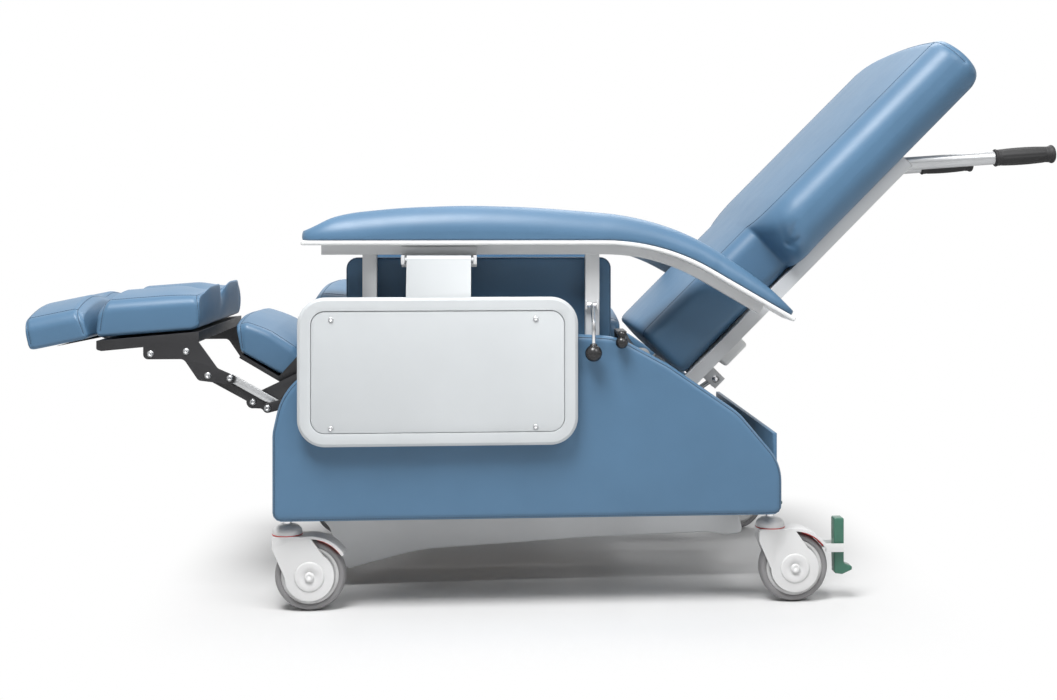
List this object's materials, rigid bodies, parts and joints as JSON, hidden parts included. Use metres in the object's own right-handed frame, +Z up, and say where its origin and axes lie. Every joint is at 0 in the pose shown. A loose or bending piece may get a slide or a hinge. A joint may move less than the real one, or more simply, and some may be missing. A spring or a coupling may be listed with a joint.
{
  "type": "clinical recliner chair",
  "caption": "Wheeled clinical recliner with reclining back, folding legrest, lift-off padded arms, fold-up side trays and swivel casters with pedals.",
  "frame": {"origin": "middle of the bounding box's underside, on the floor, with the legrest out and the back down", "axes": "+X to the rear, along the chair's length; +Y to the sitter's right; +Z up"},
  "size_m": [1.9096, 0.794, 1.0276],
  "materials": {
    "vinyl": "smooth blue upholstery vinyl, lightly grained",
    "frame_paint": "light grey powder coat",
    "link_paint": "black powder coat",
    "plate_steel": "zinc-plated steel",
    "bright": "bright plating",
    "tray_plastic": "pale grey moulding",
    "white_plastic": "white moulding",
    "caster_plastic": "light grey moulding",
    "tyre": "grey non-marking tread",
    "green_plastic": "green moulding",
    "black_plastic": "black moulding",
    "grip_rubber": "black foam grip",
    "board": "plywood"
  },
  "bodies": {
    "base": {"base_frame": "frame_paint", "caster_stems": "bright", "arm_guides": "frame_paint", "left_side_panel": "vinyl", "right_side_panel": "vinyl", "rear_panel": "white_plastic", "left_mechanism_plate": "plate_steel", "right_mechanism_plate": "plate_steel", "seat_deck": "board", "seat_cushion": "vinyl"},
    "backrest": {"back_frame": "frame_paint", "back_cushion": "vinyl", "back_panel": "white_plastic", "left_push_handle": "frame_paint", "right_push_handle": "frame_paint", "left_hand_grip": "grip_rubber", "right_hand_grip": "grip_rubber", "release_housing": "white_plastic"},
    "gas_barrel": {"gas_cylinder": "link_paint"},
    "gas_stick": {"gas_rod": "bright"},
    "knee": {"knee_links": "link_paint"},
    "main": {"main_links": "link_paint"},
    "upper": {"upper_links": "plate_steel"},
    "lower": {"lower_links": "link_paint"},
    "legrest": {"legrest_frame": "link_paint", "calf_pad": "vinyl", "foot_pad": "vinyl"},
    "mid_leg": {"mid_pad": "vinyl", "mid_pad_frame": "link_paint"},
    "recline": {"recline_lever": "link_paint", "recline_knob": "black_plastic"},
    "left_arm": {"left_arm_frame": "frame_paint", "left_arm_trim": "white_plastic", "left_arm_pad": "vinyl", "left_arm_panel": "vinyl", "left_tray_bracket": "frame_paint"},
    "left_latch": {"left_latch_lever": "bright", "left_latch_knob": "black_plastic"},
    "left_tray": {"left_tray_frame": "tray_plastic", "left_tray_panel": "tray_plastic"},
    "left_pedal": {"left_brake_pedal": "green_plastic"},
    "front_left_swivel": {"front_left_fork": "caster_plastic"},
    "front_left_roller": {"front_left_wheel": "tyre"},
    "rear_left_swivel": {"rear_left_fork": "caster_plastic"},
    "rear_left_roller": {"rear_left_wheel": "tyre"},
    "right_arm": {"right_arm_frame": "frame_paint", "right_arm_trim": "white_plastic", "right_arm_pad": "vinyl", "right_arm_panel": "vinyl", "right_tray_bracket": "frame_paint"},
    "right_latch": {"right_latch_lever": "bright", "right_latch_knob": "black_plastic"},
    "right_tray": {"right_tray_frame": "tray_plastic", "right_tray_panel": "tray_plastic"},
    "right_pedal": {"right_brake_pedal": "green_plastic"},
    "front_right_swivel": {"front_right_fork": "caster_plastic"},
    "front_right_roller": {"front_right_wheel": "tyre"},
    "rear_right_swivel": {"rear_right_fork": "caster_plastic"},
    "rear_right_roller": {"rear_right_wheel": "tyre"}
  },
  "joints": [
    {"name": "back_recline", "type": "hinge", "parent": "base", "child": "backrest", "pos_m": [0.17, 0, 0.43], "axis": [0, -1, 0], "range_deg": [0, 32]},
    {"name": "gas_swing", "type": "hinge", "parent": "base", "child": "gas_barrel", "pos_m": [0.12, 0, 0.225], "axis": [0, -1, 0], "range_deg": [0, 13.8]},
    {"name": "gas_slide", "type": "slide", "parent": "gas_barrel", "child": "gas_stick", "axis": [0.8356, 0, 0.5493], "range_m": [0, 0.0721]},
    {"name": "legrest_fold", "type": "hinge", "parent": "base", "child": "knee", "pos_m": [-0.451, 0, 0.398], "axis": [0, -1, 0], "range_deg": [0, 73]},
    {"name": "main_link", "type": "hinge", "parent": "knee", "child": "main", "pos_m": [-0.544, 0, 0.357], "axis": [0, -1, 0], "range_deg": [-115.1, 0]},
    {"name": "legrest_tilt", "type": "hinge", "parent": "main", "child": "legrest", "pos_m": [-0.623, 0, 0.407], "axis": [0, -1, 0], "range_deg": [0, 127.1]},
    {"name": "upper_link", "type": "hinge", "parent": "knee", "child": "upper", "pos_m": [-0.5003, 0, 0.3541], "axis": [0, -1, 0], "range_deg": [-114.1, 0]},
    {"name": "lower_link", "type": "hinge", "parent": "base", "child": "lower", "pos_m": [-0.414, 0, 0.373], "axis": [0, -1, 0], "range_deg": [0, 71.8]},
    {"name": "mid_pad_flip", "type": "hinge", "parent": "base", "child": "mid_leg", "pos_m": [-0.448, 0, 0.44], "axis": [0, -1, 0], "range_deg": [0, 95.1]},
    {"name": "recline_pull", "type": "hinge", "parent": "base", "child": "recline", "pos_m": [0.118, -0.29, 0.376], "axis": [0, 1, 0], "range_deg": [0, 20]},
    {"name": "left_arm_lift", "type": "slide", "parent": "base", "child": "left_arm", "axis": [0, 0, 1], "range_m": [0, 0.075]},
    {"name": "left_latch_swing", "type": "hinge", "parent": "left_arm", "child": "left_latch", "pos_m": [0.068, -0.332, 0.538], "axis": [-1, 0, 0], "range_deg": [0, 45]},
    {"name": "left_tray_swing", "type": "hinge", "parent": "left_arm", "child": "left_tray", "pos_m": [-0.202, -0.352, 0.619], "axis": [-1, 0, 0], "range_deg": [0, 90]},
    {"name": "front_left_turn", "type": "hinge", "parent": "base", "child": "front_left_swivel", "pos_m": [-0.47, -0.312, 0.14], "axis": [0, 0, 1], "continuous": true},
    {"name": "front_left_spin", "type": "hinge", "parent": "front_left_swivel", "child": "front_left_roller", "pos_m": [-0.429, -0.312, 0.0625], "axis": [0, 1, 0], "continuous": true},
    {"name": "rear_left_turn", "type": "hinge", "parent": "base", "child": "rear_left_swivel", "pos_m": [0.394, -0.312, 0.14], "axis": [0, 0, 1], "continuous": true},
    {"name": "rear_left_spin", "type": "hinge", "parent": "rear_left_swivel", "child": "rear_left_roller", "pos_m": [0.435, -0.312, 0.0625], "axis": [0, 1, 0], "continuous": true},
    {"name": "left_pedal_press", "type": "hinge", "parent": "rear_left_swivel", "child": "left_pedal", "pos_m": [0.518, -0.312, 0.0975], "axis": [0, -1, 0], "range_deg": [0, 12]},
    {"name": "right_arm_lift", "type": "slide", "parent": "base", "child": "right_arm", "axis": [0, 0, 1], "range_m": [0, 0.075]},
    {"name": "right_latch_swing", "type": "hinge", "parent": "right_arm", "child": "right_latch", "pos_m": [0.068, 0.332, 0.538], "axis": [1, 0, 0], "range_deg": [0, 45]},
    {"name": "right_tray_swing", "type": "hinge", "parent": "right_arm", "child": "right_tray", "pos_m": [-0.202, 0.352, 0.619], "axis": [1, 0, 0], "range_deg": [0, 90]},
    {"name": "front_right_turn", "type": "hinge", "parent": "base", "child": "front_right_swivel", "pos_m": [-0.47, 0.312, 0.14], "axis": [0, 0, 1], "continuous": true},
    {"name": "front_right_spin", "type": "hinge", "parent": "front_right_swivel", "child": "front_right_roller", "pos_m": [-0.429, 0.312, 0.0625], "axis": [0, 1, 0], "continuous": true},
    {"name": "rear_right_turn", "type": "hinge", "parent": "base", "child": "rear_right_swivel", "pos_m": [0.394, 0.312, 0.14], "axis": [0, 0, 1], "continuous": true},
    {"name": "rear_right_spin", "type": "hinge", "parent": "rear_right_swivel", "child": "rear_right_roller", "pos_m": [0.435, 0.312, 0.0625], "axis": [0, 1, 0], "continuous": true},
    {"name": "right_pedal_press", "type": "hinge", "parent": "rear_right_swivel", "child": "right_pedal", "pos_m": [0.518, 0.312, 0.0975], "axis": [0, -1, 0], "range_deg": [0, 12]}
  ],
  "couplings": [
    {"joint": "gas_swing", "follows": "back_recline", "ratio": 0.43003},
    {"joint": "gas_slide", "follows": "back_recline", "m_per_rad": 0.12897},
    {"joint": "main_link", "follows": "legrest_fold", "ratio": -1.5753},
    {"joint": "legrest_tilt", "follows": "legrest_fold", "ratio": 1.7397},
    {"joint": "upper_link", "follows": "legrest_fold", "ratio": -1.5619},
    {"joint": "lower_link", "follows": "legrest_fold", "ratio": 0.98219},
    {"joint": "mid_pad_flip", "follows": "legrest_fold", "ratio": 1.3014}
  ]
}
